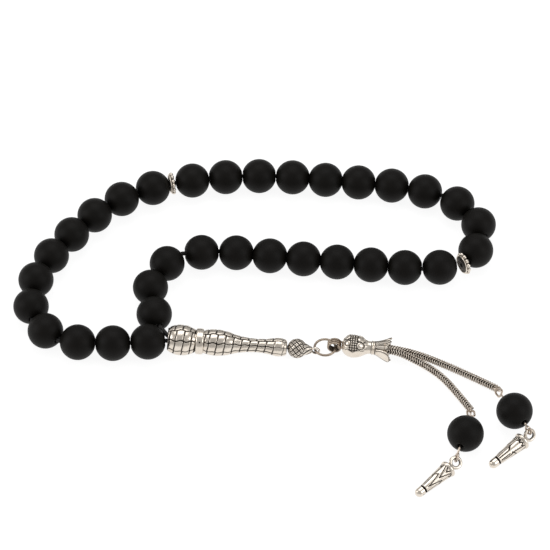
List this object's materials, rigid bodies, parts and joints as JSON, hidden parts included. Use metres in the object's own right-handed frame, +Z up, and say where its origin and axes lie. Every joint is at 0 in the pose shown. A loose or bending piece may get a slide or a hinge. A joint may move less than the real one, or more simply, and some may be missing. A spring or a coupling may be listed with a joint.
{
  "type": "prayer beads",
  "caption": "Closed loop of round bored beads with spacers, a tapered head bead, and a tassel cap hanging on a ring with chains, beads and cone charms.",
  "frame": {"origin": "middle of the footprint of the loop and the cap, at the table", "axes": "+X along the loop, from its closed left end towards the tassel; +Y across the loop, away from the head bead; +Z up from the table"},
  "size_m": [0.1446, 0.1196, 0.01],
  "materials": {
    "black_onyx": "matt black onyx, finely frosted",
    "black_thread": "twisted waxed black cord",
    "cast_silver": "cast silver, oxidised black in its recesses and polished on its high points",
    "silver_wire": "drawn silver wire, lightly tarnished",
    "silver_chain": "woven foxtail chain, dark between its links"
  },
  "bodies": {
    "thread_left": {"thread_root": "black_thread"},
    "thread_across": {"thread_top": "black_thread"},
    "thread_right": {"thread_end": "black_thread"},
    "thread_middle": {"thread_second": "black_thread"},
    "imame": {"imame": "cast_silver", "imame_cord": "black_thread"},
    "terminal": {"terminal_bead": "cast_silver", "end_knot": "black_thread"},
    "jump_ring": {"jump_ring": "silver_wire"},
    "bail": {"coil_bail": "silver_wire"},
    "cap": {"tassel_cap": "cast_silver", "hanger_pin": "silver_wire", "front_chain_upper": "silver_chain", "back_chain_upper": "silver_chain"},
    "front_chain": {"front_chain_lower": "silver_chain", "front_chain_link": "silver_wire"},
    "front_pin": {"front_eye_pin": "silver_wire"},
    "front_charm": {"front_charm": "cast_silver"},
    "back_chain": {"back_chain_lower": "silver_chain", "back_chain_link": "silver_wire"},
    "back_pin": {"back_eye_pin": "silver_wire"},
    "back_charm": {"back_charm": "cast_silver"},
    "front_tassel_bead": {"front_tassel_bead": "black_onyx"},
    "back_tassel_bead": {"back_tassel_bead": "black_onyx"},
    "bead_01": {"bead_01": "black_onyx"},
    "bead_02": {"bead_02": "black_onyx"},
    "bead_03": {"bead_03": "black_onyx"},
    "bead_04": {"bead_04": "black_onyx"},
    "bead_05": {"bead_05": "black_onyx"},
    "bead_06": {"bead_06": "black_onyx"},
    "bead_07": {"bead_07": "black_onyx"},
    "bead_08": {"bead_08": "black_onyx"},
    "bead_09": {"bead_09": "black_onyx"},
    "bead_10": {"bead_10": "black_onyx"},
    "bead_11": {"bead_11": "black_onyx"},
    "spacer_1": {"spacer_1": "cast_silver"},
    "bead_12": {"bead_12": "black_onyx"},
    "bead_13": {"bead_13": "black_onyx"},
    "bead_14": {"bead_14": "black_onyx"},
    "bead_15": {"bead_15": "black_onyx"},
    "bead_16": {"bead_16": "black_onyx"},
    "bead_17": {"bead_17": "black_onyx"},
    "bead_18": {"bead_18": "black_onyx"},
    "bead_19": {"bead_19": "black_onyx"},
    "bead_20": {"bead_20": "black_onyx"},
    "bead_21": {"bead_21": "black_onyx"},
    "bead_22": {"bead_22": "black_onyx"},
    "spacer_2": {"spacer_2": "cast_silver"},
    "bead_23": {"bead_23": "black_onyx"},
    "bead_24": {"bead_24": "black_onyx"},
    "bead_25": {"bead_25": "black_onyx"},
    "bead_26": {"bead_26": "black_onyx"},
    "bead_27": {"bead_27": "black_onyx"},
    "bead_28": {"bead_28": "black_onyx"},
    "bead_29": {"bead_29": "black_onyx"},
    "bead_30": {"bead_30": "black_onyx"},
    "bead_31": {"bead_31": "black_onyx"},
    "bead_32": {"bead_32": "black_onyx"},
    "bead_33": {"bead_33": "black_onyx"}
  },
  "joints": [
    {"name": "loop_bend_top", "type": "hinge", "parent": "thread_left", "child": "thread_across", "pos_m": [-0.02402, 0.02916, 0.005], "axis": [0, 0, 1], "range_deg": [-15, 15]},
    {"name": "loop_bend_end", "type": "hinge", "parent": "thread_across", "child": "thread_right", "pos_m": [0.05358, 0.02419, 0.005], "axis": [0, 0, 1], "range_deg": [-15, 15]},
    {"name": "loop_bend_middle", "type": "hinge", "parent": "thread_left", "child": "thread_middle", "pos_m": [-0.02152, 0.00154, 0.005], "axis": [0, 0, 1], "range_deg": [-15, 15]},
    {"name": "imame_swing", "type": "hinge", "parent": "thread_left", "child": "imame", "pos_m": [-0.02373, -0.03009, 0.00451], "axis": [0, 0, 1], "range_deg": [-8, 5]},
    {"name": "terminal_swing", "type": "hinge", "parent": "imame", "child": "terminal", "pos_m": [0.00843, -0.03149, 0.00251], "axis": [0, 0, 1], "range_deg": [-10, 5]},
    {"name": "ring_swing", "type": "hinge", "parent": "terminal", "child": "jump_ring", "pos_m": [0.01628, -0.03273, 0.00275], "axis": [0, 0, 1], "range_deg": [-15, 5]},
    {"name": "bail_swing", "type": "hinge", "parent": "jump_ring", "child": "bail", "pos_m": [0.02182, -0.03094, 0.00275], "axis": [0, 0, 1], "range_deg": [-10, 5]},
    {"name": "cap_swing", "type": "hinge", "parent": "bail", "child": "cap", "pos_m": [0.02321, -0.03103, 0.0032], "axis": [0, 0, 1], "range_deg": [-10, 5]},
    {"name": "front_chain_swing", "type": "hinge", "parent": "cap", "child": "front_chain", "pos_m": [0.04967, -0.03945, 0.00125], "axis": [0, 0, 1], "range_deg": [-15, 6]},
    {"name": "front_pin_swing", "type": "hinge", "parent": "front_chain", "child": "front_pin", "pos_m": [0.05866, -0.05346, 0.00176], "axis": [0, 0, 1], "range_deg": [-12, 12]},
    {"name": "front_charm_swing", "type": "hinge", "parent": "front_pin", "child": "front_charm", "pos_m": [0.05407, -0.07102, 0.00341], "axis": [0, 0, 1], "range_deg": [-15, 15]},
    {"name": "back_chain_swing", "type": "hinge", "parent": "cap", "child": "back_chain", "pos_m": [0.04897, -0.03495, 0.00125], "axis": [0, 0, 1], "range_deg": [-4, 12]},
    {"name": "back_pin_swing", "type": "hinge", "parent": "back_chain", "child": "back_pin", "pos_m": [0.06619, -0.04584, 0.00174], "axis": [0, 0, 1], "range_deg": [-8, 12]},
    {"name": "back_charm_swing", "type": "hinge", "parent": "back_pin", "child": "back_charm", "pos_m": [0.07393, -0.06208, 0.00402], "axis": [0, 0, 1], "range_deg": [-6, 15]},
    {"name": "front_tassel_bead_spin", "type": "hinge", "parent": "front_pin", "child": "front_tassel_bead", "pos_m": [0.05667, -0.064, 0.005], "axis": [-0.3469, -0.9379, 0], "continuous": true},
    {"name": "back_tassel_bead_spin", "type": "hinge", "parent": "back_pin", "child": "back_tassel_bead", "pos_m": [0.07037, -0.0561, 0.005], "axis": [0.5105, -0.8599, 0], "continuous": true},
    {"name": "bead_01_spin", "type": "hinge", "parent": "thread_left", "child": "bead_01", "pos_m": [-0.03038, -0.03141, 0.005], "axis": [-0.9962, -0.0872, 0], "continuous": true},
    {"name": "bead_02_spin", "type": "hinge", "parent": "thread_left", "child": "bead_02", "pos_m": [-0.04011, -0.03191, 0.005], "axis": [-0.9998, -0.0175, 0], "continuous": true},
    {"name": "bead_03_spin", "type": "hinge", "parent": "thread_left", "child": "bead_03", "pos_m": [-0.0499, -0.03157, 0.005], "axis": [-0.9962, 0.0872, 0], "continuous": true},
    {"name": "bead_04_spin", "type": "hinge", "parent": "thread_left", "child": "bead_04", "pos_m": [-0.05907, -0.02739, 0.005], "axis": [-0.7193, 0.6947, 0], "continuous": true},
    {"name": "bead_05_spin", "type": "hinge", "parent": "thread_left", "child": "bead_05", "pos_m": [-0.06357, -0.01837, 0.005], "axis": [-0.1219, 0.9925, 0], "continuous": true},
    {"name": "bead_06_spin", "type": "hinge", "parent": "thread_left", "child": "bead_06", "pos_m": [-0.06269, -0.00837, 0.005], "axis": [0.2924, 0.9563, 0], "continuous": true},
    {"name": "bead_07_spin", "type": "hinge", "parent": "thread_left", "child": "bead_07", "pos_m": [-0.05874, 0.00073, 0.005], "axis": [0.5, 0.866, 0], "continuous": true},
    {"name": "bead_08_spin", "type": "hinge", "parent": "thread_left", "child": "bead_08", "pos_m": [-0.05332, 0.00891, 0.005], "axis": [0.6018, 0.7986, 0], "continuous": true},
    {"name": "bead_09_spin", "type": "hinge", "parent": "thread_left", "child": "bead_09", "pos_m": [-0.04703, 0.01641, 0.005], "axis": [0.682, 0.7314, 0], "continuous": true},
    {"name": "bead_10_spin", "type": "hinge", "parent": "thread_left", "child": "bead_10", "pos_m": [-0.03942, 0.02279, 0.005], "axis": [0.8387, 0.5446, 0], "continuous": true},
    {"name": "bead_11_spin", "type": "hinge", "parent": "thread_left", "child": "bead_11", "pos_m": [-0.03049, 0.02715, 0.005], "axis": [0.9455, 0.3256, 0], "continuous": true},
    {"name": "spacer_1_spin", "type": "hinge", "parent": "thread_left", "child": "spacer_1", "pos_m": [-0.02501, 0.02894, 0.005], "axis": [0.9744, 0.225, 0], "continuous": true},
    {"name": "bead_12_spin", "type": "hinge", "parent": "thread_across", "child": "bead_12", "pos_m": [-0.01908, 0.03013, 0.005], "axis": [0.9816, 0.1908, 0], "continuous": true},
    {"name": "bead_13_spin", "type": "hinge", "parent": "thread_across", "child": "bead_13", "pos_m": [-0.00938, 0.03149, 0.005], "axis": [0.9962, 0.0872, 0], "continuous": true},
    {"name": "bead_14_spin", "type": "hinge", "parent": "thread_across", "child": "bead_14", "pos_m": [0.00038, 0.03191, 0.005], "axis": [1, 0, 0], "continuous": true},
    {"name": "bead_15_spin", "type": "hinge", "parent": "thread_across", "child": "bead_15", "pos_m": [0.01015, 0.0314, 0.005], "axis": [0.9945, -0.1045, 0], "continuous": true},
    {"name": "bead_16_spin", "type": "hinge", "parent": "thread_across", "child": "bead_16", "pos_m": [0.01975, 0.03039, 0.005], "axis": [0.9945, -0.1045, 0], "continuous": true},
    {"name": "bead_17_spin", "type": "hinge", "parent": "thread_across", "child": "bead_17", "pos_m": [0.02935, 0.02939, 0.005], "axis": [0.9945, -0.1045, 0], "continuous": true},
    {"name": "bead_18_spin", "type": "hinge", "parent": "thread_across", "child": "bead_18", "pos_m": [0.03899, 0.02812, 0.005], "axis": [0.9877, -0.1564, 0], "continuous": true},
    {"name": "bead_19_spin", "type": "hinge", "parent": "thread_across", "child": "bead_19", "pos_m": [0.04856, 0.02582, 0.005], "axis": [0.9511, -0.309, 0], "continuous": true},
    {"name": "bead_20_spin", "type": "hinge", "parent": "thread_right", "child": "bead_20", "pos_m": [0.05778, 0.02102, 0.005], "axis": [0.7986, -0.6018, 0], "continuous": true},
    {"name": "bead_21_spin", "type": "hinge", "parent": "thread_right", "child": "bead_21", "pos_m": [0.06357, 0.01276, 0.005], "axis": [0.2924, -0.9563, 0], "continuous": true},
    {"name": "bead_22_spin", "type": "hinge", "parent": "thread_right", "child": "bead_22", "pos_m": [0.06234, 0.00275, 0.005], "axis": [-0.515, -0.8572, 0], "continuous": true},
    {"name": "spacer_2_spin", "type": "hinge", "parent": "thread_right", "child": "spacer_2", "pos_m": [0.05861, -0.00229, 0.005], "axis": [-0.8746, -0.4848, 0], "continuous": true},
    {"name": "bead_23_spin", "type": "hinge", "parent": "thread_middle", "child": "bead_23", "pos_m": [0.05183, -0.00369, 0.005], "axis": [-0.9925, -0.1219, 0], "continuous": true},
    {"name": "bead_24_spin", "type": "hinge", "parent": "thread_middle", "child": "bead_24", "pos_m": [0.04191, -0.00378, 0.005], "axis": [-0.9945, 0.1045, 0], "continuous": true},
    {"name": "bead_25_spin", "type": "hinge", "parent": "thread_middle", "child": "bead_25", "pos_m": [0.03231, -0.00277, 0.005], "axis": [-0.9945, 0.1045, 0], "continuous": true},
    {"name": "bead_26_spin", "type": "hinge", "parent": "thread_middle", "child": "bead_26", "pos_m": [0.0227, -0.00167, 0.005], "axis": [-0.9925, 0.1219, 0], "continuous": true},
    {"name": "bead_27_spin", "type": "hinge", "parent": "thread_middle", "child": "bead_27", "pos_m": [0.01312, -0.0005, 0.005], "axis": [-0.9925, 0.1219, 0], "continuous": true},
    {"name": "bead_28_spin", "type": "hinge", "parent": "thread_middle", "child": "bead_28", "pos_m": [0.00354, 0.00068, 0.005], "axis": [-0.9925, 0.1219, 0], "continuous": true},
    {"name": "bead_29_spin", "type": "hinge", "parent": "thread_middle", "child": "bead_29", "pos_m": [-0.00603, 0.00186, 0.005], "axis": [-0.9925, 0.1219, 0], "continuous": true},
    {"name": "bead_30_spin", "type": "hinge", "parent": "thread_middle", "child": "bead_30", "pos_m": [-0.01593, 0.00203, 0.005], "axis": [-0.9962, -0.0872, 0], "continuous": true},
    {"name": "bead_31_spin", "type": "hinge", "parent": "thread_left", "child": "bead_31", "pos_m": [-0.02569, -0.00221, 0.005], "axis": [-0.7431, -0.6691, 0], "continuous": true},
    {"name": "bead_32_spin", "type": "hinge", "parent": "thread_left", "child": "bead_32", "pos_m": [-0.03019, -0.01123, 0.005], "axis": [-0.0872, -0.9962, 0], "continuous": true},
    {"name": "bead_33_spin", "type": "hinge", "parent": "thread_left", "child": "bead_33", "pos_m": [-0.02887, -0.0212, 0.005], "axis": [0.342, -0.9397, 0], "continuous": true}
  ],
  "couplings": [
    {"joint": "loop_bend_end", "follows": "loop_bend_top", "ratio": -1},
    {"joint": "loop_bend_middle", "follows": "loop_bend_top", "ratio": 1}
  ]
}
